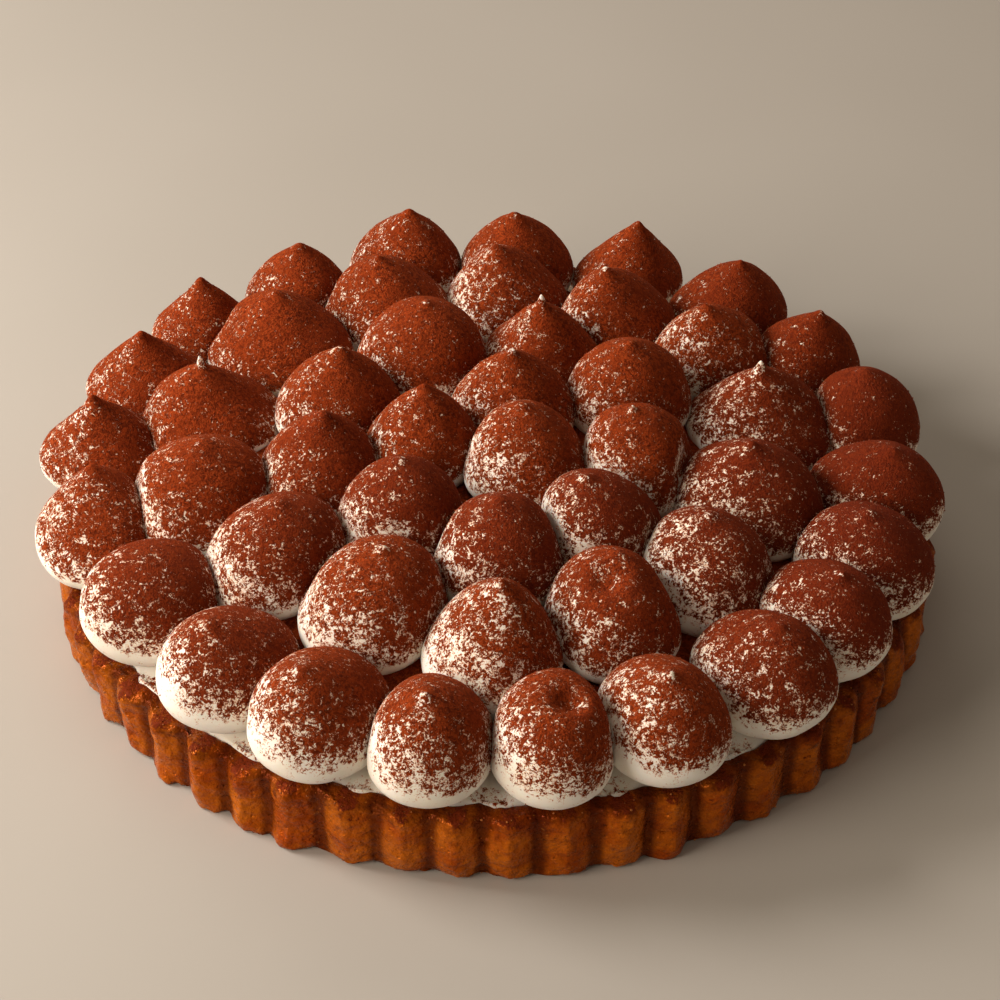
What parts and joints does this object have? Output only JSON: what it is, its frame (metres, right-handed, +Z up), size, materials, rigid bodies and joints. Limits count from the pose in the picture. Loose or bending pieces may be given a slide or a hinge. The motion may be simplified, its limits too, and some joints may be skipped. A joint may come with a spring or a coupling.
{
  "type": "tiramisu tart",
  "caption": "Round uncut tart: a fluted shortcrust shell, a domed cream filling and rings of piped cream dollops dusted with cocoa",
  "frame": {"origin": "centre of the tart's round underside, on the surface it stands on", "axes": "+Z up along the tart's axis; -Y is the side nearest the viewer in the reference view"},
  "size_m": [0.2553, 0.2509, 0.0662],
  "materials": {
    "shortcrust": "baked golden brown, satin, with fine pores",
    "cream": "smooth, soft satin",
    "dusted_cream": "ivory cream under a matt cocoa dusting"
  },
  "bodies": {
    "root": {"crust": "shortcrust", "filling": "cream", "dollop_a01": "dusted_cream", "dollop_a02": "dusted_cream", "dollop_a03": "dusted_cream", "dollop_a04": "dusted_cream", "dollop_a05": "dusted_cream", "dollop_a06": "dusted_cream", "dollop_a07": "dusted_cream", "dollop_a08": "dusted_cream", "dollop_a09": "dusted_cream", "dollop_a10": "dusted_cream", "dollop_a11": "dusted_cream", "dollop_a12": "dusted_cream", "dollop_a13": "dusted_cream", "dollop_a14": "dusted_cream", "dollop_a15": "dusted_cream", "dollop_a16": "dusted_cream", "dollop_a17": "dusted_cream", "dollop_a18": "dusted_cream", "dollop_a19": "dusted_cream", "dollop_a20": "dusted_cream", "dollop_a21": "dusted_cream", "dollop_b01": "dusted_cream", "dollop_b02": "dusted_cream", "dollop_b03": "dusted_cream", "dollop_b04": "dusted_cream", "dollop_b05": "dusted_cream", "dollop_b06": "dusted_cream", "dollop_b07": "dusted_cream", "dollop_b08": "dusted_cream", "dollop_b09": "dusted_cream", "dollop_b10": "dusted_cream", "dollop_b11": "dusted_cream", "dollop_b12": "dusted_cream", "dollop_b13": "dusted_cream", "dollop_b14": "dusted_cream", "dollop_c01": "dusted_cream", "dollop_c02": "dusted_cream", "dollop_c03": "dusted_cream", "dollop_c04": "dusted_cream", "dollop_c05": "dusted_cream", "dollop_c06": "dusted_cream", "dollop_c07": "dusted_cream", "dollop_c08": "dusted_cream", "dollop_c09": "dusted_cream", "dollop_d01": "dusted_cream", "dollop_d02": "dusted_cream", "dollop_d03": "dusted_cream"}
  },
  "joints": []
}
